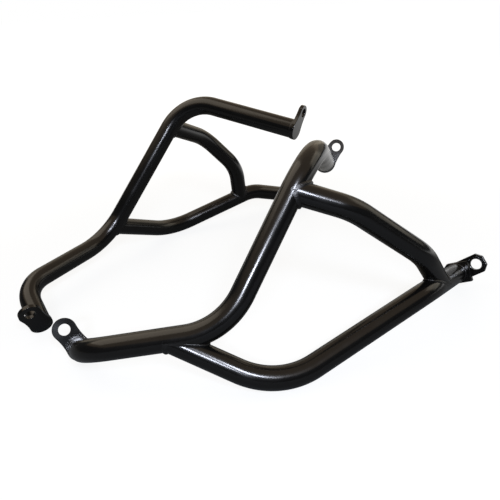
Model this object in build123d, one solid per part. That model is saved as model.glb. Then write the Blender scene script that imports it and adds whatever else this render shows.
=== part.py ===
from build123d import *
from dataclasses import dataclass
import math
import os

# A pair of motorcycle crash bars, left and right, standing side by side as they are unpacked.
# Each bar is a hoop tube, a side tube welded on the hoop and a brace between the two,
# with plates welded on the three open tube ends for the bolts to the bike.
# X runs to the rear of the bike, Y to its right and Z up; all sizes are in millimetres.

# Tube stock, the same for every tube
tube_dia = 25.0
tube_wall = 2.0

# Bend radii at the tube's centre line
foot_bend_radius = 48.0
low_bend_radius = 77.0
top_bend_radius = 60.0
side_bend_radius = 85.0
rear_bend_radius = 60.0
brace_bend_radius = 70.0

# Gap that the fitter leaves at a coped joint, and the welds laid over the joints
root_gap = 0.3
seam_weld_leg = 4.5
plate_weld_leg = 2.5
plate_weld_foot = 0.5
weld_bulge = 0.6
weld_steps = 28

# Rim that a plate keeps outside the weld on it
plate_rim = 0.2

# Lower lug: waisted plate on the hoop's lower end, bolted to the engine
lower_lug_thick = 5.0
lower_lug_reach = 27.0
lower_lug_eye_radius = 13.0
lower_lug_hole_dia = 13.0
lower_lug_turn = -22.0

# Upper lug: waisted plate on the hoop's upper end, bolted to the frame
upper_lug_thick = 5.0
upper_lug_reach = 24.0
upper_lug_eye_radius = 9.8
upper_lug_hole_dia = 11.0
upper_lug_turn = 35.0

# Hollow flanks between the foot and the eye of both lugs
lug_flank_radius = 60.0

# Rear plate: piece of flat bar that closes the side tube's rear end
rear_plate_thick = 8.0
rear_plate_front = 16.0
rear_plate_chamfer = 7.0
rear_plate_turn = 65.0

# Rear lug: chamfered flat bar lapped on the back of the rear plate, bolted to the frame
rear_lug_thick = 6.0
rear_lug_width = 25.0
rear_lug_tail = 5.0
rear_lug_reach = 25.0
rear_lug_tip = 11.5
rear_lug_chamfer = 6.5
rear_lug_hole_dia = 14.0
rear_lug_turn = 51.0
rear_lug_hole_gap = 0.4


@dataclass
class Bar:
    """Places on one bar: back along the bike, out from its middle plane, up from the floor."""
    sign: int
    # Hoop, from its lower end to its upper end
    foot: tuple
    foot_bend: tuple
    low_bend: tuple
    top_bend: tuple
    top_end: tuple
    # Side tube, from a length along the hoop to its own rear end
    side_start: float
    side_bend: tuple
    rear_bend: tuple
    rear_end: tuple
    # Brace, from a length along the hoop to a length along the side tube
    brace_start: float
    brace_upper_bend: tuple
    brace_lower_bend: tuple
    brace_foot: float


# The bars are alike but not mirror images of each other.
left = Bar(
    sign=-1,
    foot=(-264, 53, 15),
    foot_bend=(-264, 98, 40),
    low_bend=(-140, 172, 62),
    top_bend=(-17, 145, 218),
    top_end=(83, 27, 157),
    side_start=135,
    side_bend=(-106, 215, 6),
    rear_bend=(95, 209, 50),
    rear_end=(194, 163, 20),
    brace_start=338,
    brace_upper_bend=(3, 184, 160),
    brace_lower_bend=(84, 205, 95),
    brace_foot=357,
)
right = Bar(
    sign=1,
    foot=(-295, 30, 14),
    foot_bend=(-302, 88, 37),
    low_bend=(-174, 171, 40),
    top_bend=(-29, 160, 229),
    top_end=(63, 16, 196),
    side_start=223,
    side_bend=(-58, 219, 10),
    rear_bend=(96, 208, 49),
    rear_end=(200, 196, 20),
    brace_start=393,
    brace_upper_bend=(13, 205, 158),
    brace_lower_bend=(65, 203, 100),
    brace_foot=256,
)

# Sizes that follow from the ones above
tube_radius = tube_dia / 2
bore_radius = tube_radius - tube_wall
weld_foot_radius = tube_radius + root_gap + plate_weld_foot
plate_foot_radius = weld_foot_radius + plate_rim
rear_turn_apart = math.radians(rear_plate_turn - rear_lug_turn)
rear_hole_edge = rear_lug_reach * math.cos(rear_turn_apart) - rear_lug_hole_dia / 2
rear_plate_back = rear_hole_edge - rear_lug_hole_gap


def bent_path(points, radii):
    """Centre line of a bent tube: straight runs between the points, an arc at each bend."""
    edges = []
    start = points[0]
    for before, corner, after, radius in zip(points, points[1:], points[2:], radii):
        back = (before - corner).normalized()
        ahead = (after - corner).normalized()
        inward = (back + ahead).normalized()
        half_angle = math.radians(back.get_angle(ahead) / 2)
        tangent = radius / math.tan(half_angle)
        arc_start = corner + back * tangent
        arc_middle = corner + inward * (radius / math.sin(half_angle) - radius)
        arc_end = corner + ahead * tangent
        edges.append(Edge.make_line(start, arc_start))
        edges.append(Edge.make_three_point_arc(arc_start, arc_middle, arc_end))
        start = arc_end
    edges.append(Edge.make_line(start, points[-1]))
    return Wire(edges)


def round_bar(path, radius):
    """Solid round bar along a centre line."""
    section = Plane(origin=path.position_at(0), z_dir=path.tangent_at(0)) * Circle(radius)
    return sweep(section, path=path)


def tube(path):
    """Length of tube along a centre line, open at both ends."""
    return round_bar(path, tube_radius) - round_bar(path, bore_radius)


def largest(shape):
    """The biggest solid of a shape that a cut left in pieces."""
    return max(shape.solids(), key=lambda solid: solid.volume)


def bead(stations):
    """Ring of weld metal with a section at each station: its root, its two feet and its crown."""
    rings = []
    for root, main_foot, branch_foot, outward in stations:
        crown = root + (main_foot + branch_foot) / 2 + outward * weld_bulge
        rings.append([root, root + main_foot, crown, root + branch_foot])
    facets = []
    for ring, following in zip(rings, rings[1:] + rings[:1]):
        for corner in range(4):
            a, b = ring[corner], ring[corner - 1]
            c, d = following[corner - 1], following[corner]
            facets.append(Face(Wire.make_polygon([a, b, c])))
            facets.append(Face(Wire.make_polygon([a, c, d])))
    return Solid(Shell(facets))


def seam_weld(branch, main):
    """Weld along the line where the skin of a branch meets the tube that carries its start."""
    origin = branch.position_at(0)
    along = branch.tangent_at(0)
    across = Plane(origin=origin, z_dir=along)
    points = []
    branch_normals = []
    main_normals = []
    for step in range(weld_steps):
        angle = 2 * math.pi * step / weld_steps
        side = across.x_dir * math.cos(angle) + across.y_dir * math.sin(angle)
        inside = 0.0
        outside = 3 * tube_dia
        while outside - inside > 0.01:
            middle = (inside + outside) / 2
            if main.distance_to(origin + side * tube_radius + along * middle) < tube_radius:
                inside = middle
            else:
                outside = middle
        point = origin + side * tube_radius + along * outside
        points.append(point)
        branch_normals.append(side)
        main_normals.append((point - main.closest_points(point)[0]).normalized())
    stations = []
    for step, point in enumerate(points):
        branch_normal = branch_normals[step]
        main_normal = main_normals[step]
        run = (points[(step + 1) % weld_steps] - points[step - 1]).normalized()
        outward = (branch_normal + main_normal).normalized()
        root = point + outward * (root_gap / outward.dot(branch_normal))
        along_main = run.cross(main_normal).normalized()
        along_branch = branch_normal.cross(run).normalized()
        stations.append((root, along_main * seam_weld_leg, along_branch * seam_weld_leg, outward))
    return bead(stations)


def end_plane(point, axis, turn):
    """Plane on a tube's end: Z out of the tube, X turned from straight up towards the rear."""
    up = (Vector(0, 0, 1) - axis * axis.Z).normalized()
    rear = up.cross(axis)
    if rear.X < 0:
        rear = rear * -1
    direction = up * math.cos(math.radians(turn)) + rear * math.sin(math.radians(turn))
    return Plane(origin=point, x_dir=direction, z_dir=axis)


def waisted_lug(plane, thick, reach, eye_radius, hole_dia):
    """Plate with a foot round the tube's end, an eye for the bolt and hollow flanks that touch both."""
    eye_middle = Vector(reach, 0)
    to_foot = plate_foot_radius + lug_flank_radius
    to_eye = eye_radius + lug_flank_radius
    along = (to_foot**2 - to_eye**2 + reach**2) / (2 * reach)
    flank_middle = Vector(along, math.sqrt(to_foot**2 - along**2))
    foot_touch = flank_middle * (plate_foot_radius / to_foot)
    eye_touch = eye_middle + (flank_middle - eye_middle) * (eye_radius / to_eye)
    waist = flank_middle - Vector(0, lug_flank_radius)
    flank = ThreePointArc(eye_touch, waist, foot_touch)
    foot = ThreePointArc(foot_touch, (-plate_foot_radius, 0), (foot_touch.X, -foot_touch.Y))
    eye = ThreePointArc((eye_touch.X, -eye_touch.Y), (reach + eye_radius, 0), eye_touch)
    outline = make_face(flank + foot + mirror(flank, about=Plane.XZ) + eye)
    hole = Pos(reach, 0) * Circle(hole_dia / 2)
    return plane * extrude(outline - hole, thick)


def plate_weld(plane):
    """Weld round a tube where it stands on a plate."""
    along_tube = plane.z_dir * -1
    stations = []
    for step in range(weld_steps):
        angle = 2 * math.pi * step / weld_steps
        side = plane.x_dir * math.cos(angle) + plane.y_dir * math.sin(angle)
        root = plane.origin + side * (tube_radius + root_gap)
        outward = (side + along_tube).normalized()
        stations.append((root, side * plate_weld_foot, along_tube * plate_weld_leg, outward))
    return bead(stations)


def rear_plate(plane):
    """Flat bar across the side tube's end, with the corners of its front end cut off."""
    half = plate_foot_radius
    chamfer = rear_plate_chamfer
    outline = make_face(Polyline(
        (rear_plate_back, -half),
        (rear_plate_back, half),
        (chamfer - rear_plate_front, half),
        (-rear_plate_front, half - chamfer),
        (-rear_plate_front, chamfer - half),
        (chamfer - rear_plate_front, -half),
        close=True,
    ))
    return plane * extrude(outline, rear_plate_thick)


def rear_lug(plane):
    """Flat bar with a bolt hole, the corners of its outer end cut off."""
    half = rear_lug_width / 2
    end = rear_lug_reach + rear_lug_tip
    chamfer = rear_lug_chamfer
    outline = make_face(Polyline(
        (-rear_lug_tail, -half),
        (end - chamfer, -half),
        (end, chamfer - half),
        (end, half - chamfer),
        (end - chamfer, half),
        (-rear_lug_tail, half),
        close=True,
    ))
    hole = Pos(rear_lug_reach, 0) * Circle(rear_lug_hole_dia / 2)
    return plane * Pos(0, 0, rear_plate_thick) * extrude(outline - hole, rear_lug_thick)


def crash_bar(name, bar):
    """All the pieces of one bar, by name."""

    def place(point):
        return Vector(point[0], bar.sign * point[1], point[2])

    hoop_points = [place(p) for p in (bar.foot, bar.foot_bend, bar.low_bend, bar.top_bend, bar.top_end)]
    hoop = bent_path(hoop_points, (foot_bend_radius, low_bend_radius, top_bend_radius))

    side_joint = hoop.position_at(bar.side_start, PositionMode.LENGTH)
    side_points = [side_joint] + [place(p) for p in (bar.side_bend, bar.rear_bend, bar.rear_end)]
    side = bent_path(side_points, (side_bend_radius, rear_bend_radius))

    brace_joint = hoop.position_at(bar.brace_start, PositionMode.LENGTH)
    brace_foot = side.position_at(bar.brace_foot, PositionMode.LENGTH)
    brace_bends = [place(p) for p in (bar.brace_upper_bend, bar.brace_lower_bend)]
    brace_points = [brace_joint] + brace_bends + [brace_foot]
    brace = bent_path(brace_points, (brace_bend_radius, brace_bend_radius))
    brace_from_foot = bent_path(brace_points[::-1], (brace_bend_radius, brace_bend_radius))

    lower = end_plane(hoop.position_at(0), hoop.tangent_at(0) * -1, lower_lug_turn)
    upper = end_plane(hoop.position_at(1), hoop.tangent_at(1), upper_lug_turn)
    rear = end_plane(side.position_at(1), side.tangent_at(1), rear_plate_turn)
    rear_turned = end_plane(side.position_at(1), side.tangent_at(1), rear_lug_turn)

    hoop_cope = round_bar(hoop, tube_radius + root_gap)
    side_cope = round_bar(side, tube_radius + root_gap)
    pieces = {
        "hoop_tube": tube(hoop),
        "side_tube": largest(tube(side) - hoop_cope),
        "brace_tube": largest(tube(brace) - hoop_cope - side_cope),
        "side_weld": seam_weld(side, hoop),
        "brace_upper_weld": seam_weld(brace, hoop),
        "brace_lower_weld": seam_weld(brace_from_foot, side),
        "lower_lug": waisted_lug(lower, lower_lug_thick, lower_lug_reach, lower_lug_eye_radius,
                                 lower_lug_hole_dia),
        "upper_lug": waisted_lug(upper, upper_lug_thick, upper_lug_reach, upper_lug_eye_radius,
                                 upper_lug_hole_dia),
        "rear_plate": rear_plate(rear),
        "rear_lug": rear_lug(rear_turned),
        "lower_lug_weld": plate_weld(lower),
        "upper_lug_weld": plate_weld(upper),
        "rear_plate_weld": plate_weld(rear),
    }
    return {f"{name}_{piece}": shape for piece, shape in pieces.items()}


# Both bars, moved so that the pair stands on the floor with the origin under its middle
pieces = {**crash_bar("left", left), **crash_bar("right", right)}
boxes = [shape.bounding_box() for shape in pieces.values()]
middle_x = (min(box.min.X for box in boxes) + max(box.max.X for box in boxes)) / 2
middle_y = (min(box.min.Y for box in boxes) + max(box.max.Y for box in boxes)) / 2
floor_z = min(box.min.Z for box in boxes)
to_floor = Pos(-middle_x, -middle_y, -floor_z)

os.makedirs("parts", exist_ok=True)
for name, shape in pieces.items():
    export_step(to_floor * shape, f"parts/{name}.step")
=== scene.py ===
import math
from collections import namedtuple

import bpy
import numpy as np
from mathutils import Matrix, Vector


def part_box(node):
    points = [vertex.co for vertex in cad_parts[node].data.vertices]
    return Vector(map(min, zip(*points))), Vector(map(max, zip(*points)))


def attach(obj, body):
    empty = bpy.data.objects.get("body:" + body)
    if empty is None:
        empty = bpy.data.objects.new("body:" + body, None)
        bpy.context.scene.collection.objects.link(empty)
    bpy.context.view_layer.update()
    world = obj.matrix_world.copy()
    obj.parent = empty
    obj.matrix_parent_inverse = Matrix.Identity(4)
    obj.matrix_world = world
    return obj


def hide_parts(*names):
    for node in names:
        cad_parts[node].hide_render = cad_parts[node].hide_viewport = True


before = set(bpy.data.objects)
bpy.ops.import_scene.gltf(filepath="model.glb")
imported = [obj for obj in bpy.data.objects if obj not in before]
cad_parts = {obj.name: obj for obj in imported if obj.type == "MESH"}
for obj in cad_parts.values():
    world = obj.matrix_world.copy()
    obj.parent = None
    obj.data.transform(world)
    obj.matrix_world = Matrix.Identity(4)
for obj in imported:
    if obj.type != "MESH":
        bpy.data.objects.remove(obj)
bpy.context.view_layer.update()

# Hoop tubes
# Each bar grows from a hoop of 25 mm round steel tube, bent cold from the lower lug in front of the engine,
# up past its side and over to the upper lug. The tube carries every other piece of its bar.

MM = 0.001
SIDES = ("left", "right")
TUBE_RADIUS = 12.5 * MM
TUBE_WALL = 2 * MM
BORE_RADIUS = TUBE_RADIUS - TUBE_WALL

# Ends and bends of the hoops, back along the bike, to its right and up, and the bends' radii, in millimetres
HOOP_POINTS = {
    "left": [(-264, -53, 15), (-264, -98, 40), (-140, -172, 62), (-17, -145, 218), (83, -27, 157)],
    "right": [(-295, 30, 14), (-302, 88, 37), (-174, 171, 40), (-29, 160, 229), (63, 16, 196)],
}
HOOP_BEND_RADII = (48, 77, 60)

# How finely a tube is drawn: places on each run or arc, length of a row of faces, angles round the tube
RUN_PLACES = 80
ROW_LENGTH = 3 * MM
ROUND = np.linspace(0, 2 * math.pi, 72, endpoint=False)

# Steps that count as none, and the angle past which an edge isn't shaded as round
NO_LENGTH = 1e-9
SHARP_EDGE = math.radians(35)

CentreLine = namedtuple("CentreLine", "lengths places first_side second_side")


def unit(vectors):
    """Each vector divided by its own length."""
    return vectors / np.linalg.norm(vectors, axis=-1, keepdims=True)


def between(along, lengths, values):
    """Vectors at lengths along a line, each axis in proportion between the two nearest known ones."""
    return np.stack([np.interp(along, lengths, values[:, axis]) for axis in range(3)], axis=-1)


def bent_line(points, radii):
    """Centre line of a bent tube: straight runs between the points, and at each bend an arc that touches
    both runs. It has a place about every millimetre, each with two directions square to the tube."""
    corners = np.array(points, float) * MM
    part = np.linspace(0, 1, RUN_PLACES)[:, None]
    stretches = []
    start = corners[0]
    for before, corner, after, radius in zip(corners, corners[1:], corners[2:], np.array(radii) * MM):
        back, ahead = unit(before - corner), unit(after - corner)
        half = math.acos(back @ ahead) / 2
        sweep = math.pi - 2 * half
        centre = corner + unit(back + ahead) * radius / math.sin(half)
        first = corner + back * radius / math.tan(half)
        last = corner + ahead * radius / math.tan(half)
        lean = np.sin((1 - part) * sweep) * (first - centre) + np.sin(part * sweep) * (last - centre)
        stretches += [start + (first - start) * part, centre + lean / math.sin(sweep)]
        start = last
    stretches.append(start + (corners[-1] - start) * part)
    rough = np.concatenate(stretches)
    steps = np.linalg.norm(np.diff(rough, axis=0), axis=1)
    moved = steps > NO_LENGTH
    rough = rough[np.concatenate([[True], moved])]
    run = np.concatenate([[0], np.cumsum(steps[moved])])
    lengths = np.linspace(0, run[-1], int(run[-1] / MM) + 1)
    places = between(lengths, run, rough)
    tangents = unit(np.gradient(places, axis=0))
    least = np.linalg.svd(tangents, full_matrices=False)[2][-1]
    first_side = unit(least - tangents * (tangents @ least)[:, None])
    return CentreLine(lengths, places, first_side, np.cross(tangents, first_side))


def on_skin(line, along, angle, radius):
    """Place at a length along a tube and an angle round it: the centre line plus the radius turned by the
    angle."""
    along, angle = np.broadcast_arrays(along, angle)
    first_side = between(along, line.lengths, line.first_side)
    second_side = between(along, line.lengths, line.second_side)
    turned = first_side * np.cos(angle)[..., None] + second_side * np.sin(angle)[..., None]
    return between(along, line.lengths, line.places) + unit(turned) * radius


def tube_wall(line, start, end):
    """Wall of a tube: its skin from start to end and its bore back again. A start or an end is one length,
    or a length for each angle round the tube."""
    part = np.linspace(0, 1, int(line.lengths[-1] / ROW_LENGTH))[:, None]
    along = start + (end - start) * part
    skin = on_skin(line, along, ROUND, TUBE_RADIUS)
    bore = on_skin(line, along[::-1], ROUND, BORE_RADIUS)
    return np.concatenate([skin, bore])


hoop_lines = {side: bent_line(HOOP_POINTS[side], HOOP_BEND_RADII) for side in SIDES}
hoop_walls = {side: tube_wall(line, 0.0, line.lengths[-1]) for side, line in hoop_lines.items()}

# The frame's own hoop says where the bars stand: the floor and the middle of the pair
low, high = (np.array(corner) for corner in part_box("left_hoop_tube"))
wall_points = hoop_walls["left"].reshape(-1, 3)
TO_FRAME = (low + high) / 2 - (wall_points.min(axis=0) + wall_points.max(axis=0)) / 2

# Coat on every piece: its colour, the size of its patches of film, and how much their roughness differs.
# Most of a noise's values lie between the two levels.
COAT_COLOUR = "#080808"
COAT_IOR = 1.5
FILM_PATCH = 24 * MM
FILM_GLOSSIER = 0.03
FILM_DULLER = 0.05
NOISE_LOW, NOISE_HIGH = 0.3, 0.7


def linear(hex_colour):
    """sRGB hex colour as linear red, green, blue and full alpha."""
    channels = [int(hex_colour[i:i + 2], 16) / 255 for i in (1, 3, 5)]
    return [c / 12.92 if c <= 0.04045 else ((c + 0.055) / 1.055) ** 2.4 for c in channels] + [1.0]


def add_node(tree, kind, settings=(), links=()):
    """New shader node, with its settings by property or socket and its inputs linked by socket."""
    node = tree.nodes.new(kind)
    for key, value in dict(settings).items():
        if isinstance(key, str) and hasattr(node, key):
            setattr(node, key, value)
        else:
            node.inputs[key].default_value = value
    for key, output in dict(links).items():
        tree.links.new(output, node.inputs[key])
    return node


def black_powder_coat(name, peel_mm, peel_depth_mm, roughness):
    """Black polyester powder coat, sprayed dry and baked: a semi-gloss skin with a shallow orange peel,
    and patches of slightly duller film where it baked thicker."""
    material = bpy.data.materials.new(name)
    material.use_nodes = True
    tree = material.node_tree
    tree.nodes.clear()
    place = add_node(tree, "ShaderNodeTexCoord").outputs["Object"]
    peel = add_node(
        tree, "ShaderNodeTexNoise", {"Scale": 1 / (peel_mm * MM), "Detail": 1.0}, {"Vector": place})
    film = add_node(
        tree, "ShaderNodeTexNoise", {"Scale": 1 / FILM_PATCH, "Detail": 2.0}, {"Vector": place})
    gloss = add_node(
        tree, "ShaderNodeMapRange",
        {"From Min": NOISE_LOW, "From Max": NOISE_HIGH,
         "To Min": roughness - FILM_GLOSSIER, "To Max": roughness + FILM_DULLER},
        {"Value": film.outputs["Fac"]})
    bump = add_node(
        tree, "ShaderNodeBump", {"Strength": 1.0, "Distance": peel_depth_mm * MM},
        {"Height": peel.outputs["Fac"]})
    shader = add_node(
        tree, "ShaderNodeBsdfPrincipled",
        {"Base Color": linear(COAT_COLOUR), "IOR": COAT_IOR, "Specular IOR Level": 0.5},
        {"Roughness": gloss.outputs["Result"], "Normal": bump.outputs["Normal"]})
    add_node(tree, "ShaderNodeOutputMaterial", (), {"Surface": shader.outputs["BSDF"]})
    return material


def fit_piece(node, mesh, material):
    """Puts a finished mesh in the frame in place of the node of the same name."""
    piece = bpy.data.objects.new(node + "_coated", mesh)
    bpy.context.scene.collection.objects.link(piece)
    mesh.materials.append(material)
    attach(piece, "root")
    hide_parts(node)
    return piece


def fit_ring(node, grid, material):
    """Fits the closed mesh of a grid of places that joins up with itself along its rows and its columns.
    Its faces are turned over if the volume that they close in comes out negative."""
    rows, columns = grid.shape[:2]
    index = np.arange(rows * columns).reshape(rows, columns)
    after = np.roll(index, -1, axis=0)
    faces = np.stack([index, np.roll(index, -1, axis=1), np.roll(after, -1, axis=1), after], axis=-1)
    faces = faces.reshape(-1, 4)
    places = (grid + TO_FRAME).reshape(-1, 3)
    a, b, c, d = (places[faces[:, corner]] for corner in range(4))
    volume = np.einsum("ij,ij->", a, np.cross(b, c)) + np.einsum("ij,ij->", a, np.cross(c, d))
    if volume < 0:
        faces = faces[:, ::-1]
    mesh = bpy.data.meshes.new(node)
    mesh.from_pydata(places, [], faces)
    mesh.polygons.foreach_set("use_smooth", np.ones(len(mesh.polygons), bool))
    mesh.set_sharp_from_angle(angle=SHARP_EDGE)
    return fit_piece(node, mesh, material)


# On a drawn tube the coat lies smooth, with a broad and very shallow peel
tube_coat = black_powder_coat(
    "black_powder_coat_on_tube", peel_mm=2.2, peel_depth_mm=0.0012, roughness=0.19)
for side in SIDES:
    fit_ring(f"{side}_hoop_tube", hoop_walls[side], tube_coat)

# Side tubes
# A second tube is coped to the hoop's lower run, swings out past the engine's side and runs back to the rear
# lug. It takes the knock when the bike falls, and is welded to the hoop all round.

# Where the tube leaves the hoop, as a length along the hoop, and the tube's bends, rear end and bend radii,
# in millimetres
SIDE_START = {"left": 135, "right": 223}
SIDE_POINTS = {
    "left": [(-106, -215, 6), (95, -209, 50), (194, -163, 20)],
    "right": [(-58, 219, 10), (96, 208, 49), (200, 196, 20)],
}
SIDE_BEND_RADII = (85, 60)

# How far along a branch its cope is looked for, and how often that length is halved
COPE_REACH = 70 * MM
COPE_HALVINGS = 16


def place_along(line, length_mm):
    """Place on a centre line at a length from its start, in millimetres."""
    return between(length_mm * MM, line.lengths, line.places) / MM


def near_axis(line, points):
    """For each point, the nearest place on a tube's centre line: the point's foot on the straight line
    between the two neighbours of the nearest known place."""
    gaps = ((points[:, None, :] - line.places[None, :, :]) ** 2).sum(axis=-1)
    nearest = gaps.argmin(axis=1)
    last = len(line.places) - 1
    lower = line.places[np.clip(nearest - 1, 0, last)]
    upper = line.places[np.clip(nearest + 1, 0, last)]
    run = upper - lower
    share = ((points - lower) * run).sum(axis=-1) / (run ** 2).sum(axis=-1)
    return lower + run * share[:, None]


def leaves(branch, main, start, way, angle):
    """Length along a branch, at each angle round it, where its skin comes out of the main tube's skin.
    The search goes out from the start, the way of +1 or -1, and halves its step until the skins meet."""
    inside, outside = np.zeros_like(angle), np.full_like(angle, COPE_REACH)
    for _ in range(COPE_HALVINGS):
        middle = (inside + outside) / 2
        points = on_skin(branch, start + way * middle, angle, TUBE_RADIUS)
        buried = np.linalg.norm(points - near_axis(main, points), axis=1) < TUBE_RADIUS
        inside, outside = np.where(buried, middle, inside), np.where(buried, outside, middle)
    return start + way * outside


side_lines = {}
for side in SIDES:
    hoop = hoop_lines[side]
    joint = place_along(hoop, SIDE_START[side])
    line = bent_line([joint] + SIDE_POINTS[side], SIDE_BEND_RADII)
    wall = tube_wall(line, leaves(line, hoop, 0.0, 1, ROUND), line.lengths[-1])
    fit_ring(f"{side}_side_tube", wall, tube_coat)
    side_lines[side] = line

# Brace tubes
# A short third tube ties the hoop's rising run to the side tube, so that a fall doesn't fold the bar.
# It is bent twice and coped at both ends.

# Where the brace leaves the hoop and meets the side tube, as lengths along them, and its bends and their
# radii, in millimetres
BRACE_START = {"left": 338, "right": 393}
BRACE_FOOT = {"left": 357, "right": 256}
BRACE_BENDS = {
    "left": [(3, -184, 160), (84, -205, 95)],
    "right": [(13, 205, 158), (65, 203, 100)],
}
BRACE_BEND_RADII = (70, 70)

brace_lines = {}
for side in SIDES:
    hoop, side_line = hoop_lines[side], side_lines[side]
    head = place_along(hoop, BRACE_START[side])
    foot = place_along(side_line, BRACE_FOOT[side])
    line = bent_line([head] + BRACE_BENDS[side] + [foot], BRACE_BEND_RADII)
    upper = leaves(line, hoop, 0.0, 1, ROUND)
    lower = leaves(line, side_line, line.lengths[-1], -1, ROUND)
    fit_ring(f"{side}_brace_tube", tube_wall(line, upper, lower), tube_coat)
    brace_lines[side] = line

# Welds at the tube joints
# A hand-laid bead runs round each coped joint in one pass, with a ripple where each drop of metal set.
# It is coated with the tubes, and the powder softens the ripples.

SEAM_LEG = 3.0 * MM
SEAM_BULGE = 0.7 * MM
SEAM_STATIONS = 240
SECTION_PLACES = 9

# Ripples: their pitch and height, how far their crowns trail their feet, in radians, and their middle level
RIPPLE_PITCH = 2.8 * MM
RIPPLE_HEIGHT = 0.35 * MM
RIPPLE_LAG = 1.2
RIPPLE_LEVEL = 0.6

# Slow swings of the welder's hand round a joint: each one's share of the bulge, its number and its shift
HAND_SWINGS = ((0.12, 3, 0.7), (0.08, 7, 2.1))

# How far the feet and the root go into the pieces that they join
TUCK = 0.25 * MM


def bead_grid(main_foot, branch_foot, root, bulge, ripple_height):
    """Weld bead round a joint: at each station the section goes from its foot on one piece to its foot on
    the other in a bulging curve, and back through the root. The bulge swells and dips with the ripples."""
    outward = unit((main_foot + branch_foot) / 2 - root)
    run = np.linalg.norm(np.roll(root, -1, axis=0) - root, axis=1)
    turn = 2 * math.pi * (np.cumsum(run) - run) / run.sum()
    ripples = round(run.sum() / RIPPLE_PITCH)
    across = np.linspace(0, 1, SECTION_PLACES)[:, None, None]
    arch = 4 * across * (1 - across)
    swell = np.abs(np.sin(ripples * turn[None, :, None] / 2 - RIPPLE_LAG * arch)) - RIPPLE_LEVEL
    wander = sum(share * np.sin(number * turn + shift) for share, number, shift in HAND_SWINGS)
    height = bulge * (1 + wander[None, :, None]) + ripple_height * swell
    curve = main_foot + (branch_foot - main_foot) * across + outward * (height * arch - TUCK * (1 - arch))
    return np.concatenate([curve, (root - outward * TUCK)[None]])


def seam_bead(branch, main, start, way):
    """Bead along the line where a branch's skin meets the main tube's: one foot lies on each skin."""
    angle = np.linspace(0, 2 * math.pi, SEAM_STATIONS, endpoint=False)
    along = leaves(branch, main, start, way, angle)
    seam = on_skin(branch, along, angle, TUBE_RADIUS)
    run = unit(np.roll(seam, -1, axis=0) - np.roll(seam, 1, axis=0)) * way
    main_normal = unit(seam - near_axis(main, seam))
    spread = seam + unit(np.cross(run, main_normal)) * SEAM_LEG
    axis = near_axis(main, spread)
    main_foot = axis + unit(spread - axis) * TUBE_RADIUS
    branch_foot = on_skin(branch, along + way * SEAM_LEG, angle, TUBE_RADIUS)
    return bead_grid(main_foot, branch_foot, seam, SEAM_BULGE, RIPPLE_HEIGHT)


# On a weld the coat has a finer and deeper peel, and is duller
weld_coat = black_powder_coat(
    "black_powder_coat_on_weld", peel_mm=1.6, peel_depth_mm=0.004, roughness=0.36)
for side in SIDES:
    hoop, side_line, brace = hoop_lines[side], side_lines[side], brace_lines[side]
    fit_ring(f"{side}_side_weld", seam_bead(side_line, hoop, 0.0, 1), weld_coat)
    fit_ring(f"{side}_brace_upper_weld", seam_bead(brace, hoop, 0.0, 1), weld_coat)
    fit_ring(f"{side}_brace_lower_weld", seam_bead(brace, side_line, brace.lengths[-1], -1), weld_coat)

# Lugs on the hoop's ends
# Slightly waisted lugs are cut from 5 mm steel plate and drilled, and close the hoop's two ends.
# The lower one bolts to the engine and the smaller upper one to the frame.

LUG_THICK = 5 * MM
LUG_RIM = 1 * MM
LUG_FOOT_RADIUS = TUBE_RADIUS + LUG_RIM
LUG_FLANK_RADIUS = 60 * MM

# Way along the hoop to the lug, how far its eye stands from the tube's middle, the radii of the eye and of
# its hole, and the degrees that it is turned from straight up towards the rear
LUGS = {
    "lower_lug": {"way": -1, "reach": 27 * MM, "eye": 13 * MM, "hole": 6.5 * MM, "turn": -22},
    "upper_lug": {"way": 1, "reach": 24 * MM, "eye": 9.8 * MM, "hole": 5.5 * MM, "turn": 35},
}
CIRCLE_PLACES = 48
FLANK_PLACES = 20

# Burr that is taken off every edge sharper than the angle
BURR = 0.5 * MM
BURR_STEPS = 3
BURR_ANGLE = math.radians(30)

EndPlane = namedtuple("EndPlane", "origin ahead aside axis")


def end_plane(places, turn):
    """Plane on the last of a tube's places: its origin, a direction turned from straight up towards the
    rear, the direction square to both, and the way out of the tube."""
    axis = unit(places[-1] - places[-2])
    up = unit(np.array([0, 0, 1]) - axis * axis[2])
    rear = np.cross(up, axis)
    rear = rear if rear[0] > 0 else -rear
    ahead = up * math.cos(math.radians(turn)) + rear * math.sin(math.radians(turn))
    return EndPlane(places[-1], ahead, np.cross(axis, ahead), axis)


def lifted(plane, flat, height):
    """Flat points laid on an end plane and raised out of the tube by a height."""
    return plane.origin + flat[:, :1] * plane.ahead + flat[:, 1:] * plane.aside + plane.axis * height


def drilled_plate(plane, outline, base, thick, reach, hole_radius):
    """Grid of a drilled plate: its outline at both faces and its hole at both faces. Each point of the hole
    stands on the line from the hole's middle to a point of the outline."""
    middle = np.array([reach, 0])
    hole = middle + unit(outline - middle) * hole_radius
    top = base + thick
    return np.stack([lifted(plane, outline, base), lifted(plane, outline, top),
                     lifted(plane, hole, top), lifted(plane, hole, base)])


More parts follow.
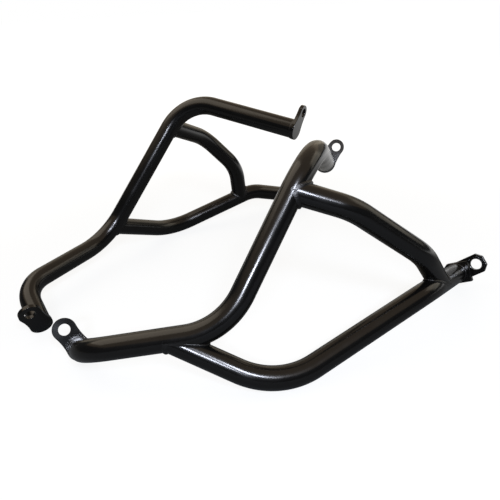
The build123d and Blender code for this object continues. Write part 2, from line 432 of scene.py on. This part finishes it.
def waisted_outline(foot, eye, reach):
    """Outline of a waisted plate: the eye circle, a hollow flank, the foot circle and the other flank, all
    arcs that touch. A flank's middle lies as far from both circles' middles as its radius added to theirs."""
    to_foot, to_eye = foot + LUG_FLANK_RADIUS, eye + LUG_FLANK_RADIUS
    along = (to_foot ** 2 - to_eye ** 2 + reach ** 2) / (2 * reach)
    out = math.sqrt(to_foot ** 2 - along ** 2)
    foot_edge, eye_edge = math.atan2(out, along), math.atan2(out, along - reach)
    arcs = (
        (reach, 0.0, eye, -eye_edge, eye_edge, CIRCLE_PLACES),
        (along, out, LUG_FLANK_RADIUS, eye_edge - math.pi, foot_edge - math.pi, FLANK_PLACES),
        (0.0, 0.0, foot, foot_edge, 2 * math.pi - foot_edge, CIRCLE_PLACES),
        (along, -out, LUG_FLANK_RADIUS, math.pi - foot_edge, math.pi - eye_edge, FLANK_PLACES),
    )
    outline = []
    for x, y, radius, start, end, count in arcs:
        turn = np.linspace(start, end, count, endpoint=False)
        outline.append(np.stack([x + radius * np.cos(turn), y + radius * np.sin(turn)], axis=1))
    return np.concatenate(outline)


def take_burr_off(piece):
    """The cutter's burr is taken off the plate's edges before it is coated."""
    bevel = piece.modifiers.new("burr_off", "BEVEL")
    bevel.width = BURR
    bevel.segments = BURR_STEPS
    bevel.limit_method = "ANGLE"
    bevel.angle_limit = BURR_ANGLE


# On flat plate the coat flows out best, and is glossiest
plate_coat = black_powder_coat(
    "black_powder_coat_on_plate", peel_mm=1.8, peel_depth_mm=0.0005, roughness=0.14)
end_planes = {}
for side in SIDES:
    for name, lug in LUGS.items():
        plane = end_plane(hoop_lines[side].places[::lug["way"]], lug["turn"])
        outline = waisted_outline(LUG_FOOT_RADIUS, lug["eye"], lug["reach"])
        grid = drilled_plate(plane, outline, 0.0, LUG_THICK, lug["reach"], lug["hole"])
        take_burr_off(fit_ring(f"{side}_{name}", grid, plate_coat))
        end_planes[side, name] = plane

# Rear plates and rear lugs
# A piece of 8 mm flat bar with cut corners closes the side tube's rear end. The lug for the rear bolt is
# lapped on its back, of 25 mm flat bar with its outer corners cut off.

REAR_PLATE_THICK = 8 * MM
REAR_PLATE_HALF = LUG_FOOT_RADIUS
REAR_PLATE_FRONT = 16 * MM
REAR_PLATE_CHAMFER = 7 * MM
REAR_PLATE_TURN = 65
REAR_LUG_THICK = 6 * MM
REAR_LUG_HALF = 12.5 * MM
REAR_LUG_TAIL = 5 * MM
REAR_LUG_REACH = 25 * MM
REAR_LUG_TIP = 11.5 * MM
REAR_LUG_CHAMFER = 6.5 * MM
REAR_LUG_HOLE = 7 * MM
REAR_LUG_TURN = 51
EDGE_PARTS = 10

# The plate stops just short of the lug's hole
HOLE_GAP = 0.4 * MM
apart = math.radians(REAR_PLATE_TURN - REAR_LUG_TURN)
REAR_PLATE_BACK = REAR_LUG_REACH * math.cos(apart) - REAR_LUG_HOLE - HOLE_GAP


def divided(corners):
    """Closed outline through the corners, with each edge divided into equal parts."""
    corners = np.array(corners)
    part = np.arange(EDGE_PARTS)[None, :, None] / EDGE_PARTS
    edges = corners[:, None, :] + (np.roll(corners, -1, axis=0) - corners)[:, None, :] * part
    return edges.reshape(-1, 2)


def plain_plate(name, plane, corners, thick):
    """Mesh of a plate without a hole: its corners at both faces, a face on each side and one for each
    edge."""
    flat = np.array(corners)
    count = len(flat)
    index = np.arange(count)
    after = np.roll(index, -1)
    walls = np.stack([index, after, after + count, index + count], axis=1).tolist()
    faces = walls + [index[::-1].tolist(), (index + count).tolist()]
    places = np.concatenate([lifted(plane, flat, 0.0), lifted(plane, flat, thick)]) + TO_FRAME
    mesh = bpy.data.meshes.new(name)
    mesh.from_pydata(places, [], faces)
    return mesh


for side in SIDES:
    places = side_lines[side].places
    plane = end_plane(places, REAR_PLATE_TURN)
    half, front, cut = REAR_PLATE_HALF, REAR_PLATE_FRONT, REAR_PLATE_CHAMFER
    corners = [(REAR_PLATE_BACK, -half), (REAR_PLATE_BACK, half), (cut - front, half),
               (-front, half - cut), (-front, cut - half), (cut - front, -half)]
    mesh = plain_plate(f"{side}_rear_plate", plane, corners, REAR_PLATE_THICK)
    take_burr_off(fit_piece(f"{side}_rear_plate", mesh, plate_coat))
    end_planes[side, "rear_plate"] = plane

    plane = end_plane(places, REAR_LUG_TURN)
    half, cut, end = REAR_LUG_HALF, REAR_LUG_CHAMFER, REAR_LUG_REACH + REAR_LUG_TIP
    outline = divided([(-REAR_LUG_TAIL, -half), (end - cut, -half), (end, cut - half),
                       (end, half - cut), (end - cut, half), (-REAR_LUG_TAIL, half)])
    grid = drilled_plate(plane, outline, REAR_PLATE_THICK, REAR_LUG_THICK, REAR_LUG_REACH, REAR_LUG_HOLE)
    take_burr_off(fit_ring(f"{side}_rear_lug", grid, plate_coat))

# Welds at the tube ends
# A thin bead of weld metal runs round each tube end where it stands on its plate, laid in one pass.
# It is coated with the rest.

END_LEG = 2.0 * MM
END_FOOT = 0.8 * MM
END_BULGE = 0.4 * MM
END_RIPPLE_HEIGHT = RIPPLE_HEIGHT / 2
END_STATIONS = 160


def end_bead(plane):
    """Bead round a tube's end: a ring with one foot on the plate and the other on the tube's skin."""
    angle = np.linspace(0, 2 * math.pi, END_STATIONS, endpoint=False)[:, None]
    out = plane.ahead * np.cos(angle) + plane.aside * np.sin(angle)
    root = plane.origin + out * TUBE_RADIUS
    plate_foot, tube_foot = root + out * END_FOOT, root - plane.axis * END_LEG
    return bead_grid(plate_foot, tube_foot, root, END_BULGE, END_RIPPLE_HEIGHT)


for side in SIDES:
    for plate in ("lower_lug", "upper_lug", "rear_plate"):
        fit_ring(f"{side}_{plate}_weld", end_bead(end_planes[side, plate]), weld_coat)

# Studio
# The bars stand on white paper in a dim room, under a warm ceiling and a large overhead softbox, with pale
# panels behind them and at the picture's right. Two small lamps near the camera draw the narrow streaks.

# White paper is matt. The picture shows it bright, a little less so under the bars where their shadow falls.
# The tubes mirror it bright only behind the bars and towards the rear. All distances are in metres.
PAPER_COLOUR = "#676B6E"
PAPER_HALF_WIDTH = 60.0
GLOW_UNDER_BARS = 0.86
GLOW_FROM, GLOW_TO = 0.3, 1.0
MIRRORED_SIDE = (0.82, 0.57, 0)
MIRRORED_FROM, MIRRORED_TO = 0.2, 0.9
WHITE = (1, 1, 1, 1)
ROOM_LIGHT = 0.05

scene = bpy.context.scene
scene.view_settings.view_transform = "Standard"

paper = bpy.data.materials.new("white_paper")
paper.use_nodes = True
tree = paper.node_tree
tree.nodes.clear()
place = add_node(tree, "ShaderNodeTexCoord").outputs["Object"]
away = add_node(tree, "ShaderNodeVectorMath", {"operation": "LENGTH"}, {0: place})
behind = add_node(tree, "ShaderNodeVectorMath", {"operation": "DOT_PRODUCT", 1: MIRRORED_SIDE}, {0: place})
glow = add_node(
    tree, "ShaderNodeMapRange",
    {"interpolation_type": "SMOOTHSTEP", "From Min": GLOW_FROM, "From Max": GLOW_TO,
     "To Min": GLOW_UNDER_BARS, "To Max": 1.0},
    {"Value": away.outputs["Value"]})
back = add_node(
    tree, "ShaderNodeMapRange",
    {"interpolation_type": "SMOOTHSTEP", "From Min": MIRRORED_FROM, "From Max": MIRRORED_TO, "To Max": 1.0},
    {"Value": behind.outputs["Value"]})
ray = add_node(tree, "ShaderNodeLightPath").outputs
mirrored = add_node(
    tree, "ShaderNodeMath", {"operation": "ADD"},
    {0: ray["Is Glossy Ray"], 1: ray["Is Transmission Ray"]})
in_mirror = add_node(
    tree, "ShaderNodeMath", {"operation": "MULTIPLY"},
    {0: mirrored.outputs["Value"], 1: back.outputs["Result"]})
strength = add_node(
    tree, "ShaderNodeMath", {"operation": "MULTIPLY_ADD"},
    {0: ray["Is Camera Ray"], 1: glow.outputs["Result"], 2: in_mirror.outputs["Value"]})
matt = add_node(tree, "ShaderNodeBsdfDiffuse", {"Color": linear(PAPER_COLOUR)})
white = add_node(tree, "ShaderNodeEmission", {"Color": WHITE}, {"Strength": strength.outputs["Value"]})
both = add_node(tree, "ShaderNodeAddShader", (), {0: matt.outputs["BSDF"], 1: white.outputs["Emission"]})
add_node(tree, "ShaderNodeOutputMaterial", (), {"Surface": both.outputs["Shader"]})

half = PAPER_HALF_WIDTH
paper_corners = [(-half, -half, 0), (half, -half, 0), (half, half, 0), (-half, half, 0)]
floor_mesh = bpy.data.meshes.new("floor")
floor_mesh.from_pydata(paper_corners, [], [(0, 1, 2, 3)])
floor = bpy.data.objects.new("floor", floor_mesh)
scene.collection.objects.link(floor)
floor_mesh.materials.append(paper)

world = bpy.data.worlds.new("studio")
world.use_nodes = True
scene.world = world
tree = world.node_tree
tree.nodes.clear()
ray = add_node(tree, "ShaderNodeLightPath").outputs
room = add_node(tree, "ShaderNodeBackground", {"Color": WHITE, "Strength": ROOM_LIGHT})
white = add_node(tree, "ShaderNodeBackground", {"Color": WHITE, "Strength": 1.0})
mixed = add_node(
    tree, "ShaderNodeMixShader", (),
    {0: ray["Is Camera Ray"], 1: room.outputs["Background"], 2: white.outputs["Background"]})
add_node(tree, "ShaderNodeOutputWorld", (), {"Surface": mixed.outputs["Shader"]})

# Each lamp's place, the point that it faces, its width and height, all in metres, its radiance and its colour
MIDDLE = (0, 0, 0.1)
LAMPS = {
    "ceiling": ((0, 0, 1.7), MIDDLE, 5.0, 5.0, 0.4, "#FFE0BA"),
    "overhead_softbox": ((-0.85, 1.05, 1.6), (-0.85, 1.05, 0), 1.6, 2.1, 1.2, "#FFF3E0"),
    "back_panel": ((0.55, 1.75, 0.7), MIDDLE, 3.0, 1.2, 0.6, "#FFF0D6"),
    "right_panel": ((1.5, -0.45, 0.95), MIDDLE, 0.9, 1.1, 1.0, "#FFF6E3"),
    "far_right_panel": ((1.5, 0.5, 0.95), MIDDLE, 1.5, 1.1, 0.4, "#FFF0D6"),
    "low_camera_lamp": ((-0.552, -0.937, 0.607), MIDDLE, 0.22, 0.10, 100.0, "#EAF0FF"),
    "high_camera_lamp": ((-0.186, -0.959, 0.797), MIDDLE, 0.16, 0.20, 75.0, "#EAF0FF"),
}

# A flat lamp's power is pi times its area times the radiance of its face
for name, (place, aim, width, height, radiance, colour) in LAMPS.items():
    lamp = bpy.data.lights.new(name, "AREA")
    lamp.shape = "RECTANGLE"
    lamp.size, lamp.size_y = width, height
    lamp.energy = math.pi * width * height * radiance
    lamp.color = linear(colour)[:3]
    x, y, z = np.array(aim) - np.array(place)
    yaw = Matrix.Rotation(math.atan2(-x, y), 3, "Z")
    pitch = Matrix.Rotation(math.atan2(math.hypot(x, y), -z), 3, "X")
    stand = bpy.data.objects.new(name, lamp)
    stand.location = place
    stand.rotation_euler = (yaw @ pitch).to_euler()
    stand.visible_camera = False
    scene.collection.objects.link(stand)

# Camera
# It looks down on the pair from the left and front, from about 0.65 m. Its lens is as long as its sensor is
# wide, which fits the directions of the runs and the widths of the tubes in the photograph.

SENSOR_WIDTH_MM = 36
CAMERA_PLACE = (-0.2502, -0.5466, 0.3447)
CAMERA_TURNS = (64.04, 3.00, -28.36)
camera_data = bpy.data.cameras.new("camera")
camera_data.sensor_width = SENSOR_WIDTH_MM
camera_data.lens = SENSOR_WIDTH_MM
camera = bpy.data.objects.new("camera", camera_data)
camera.location = CAMERA_PLACE
camera.rotation_euler = [math.radians(angle) for angle in CAMERA_TURNS]
scene.collection.objects.link(camera)
scene.camera = camera
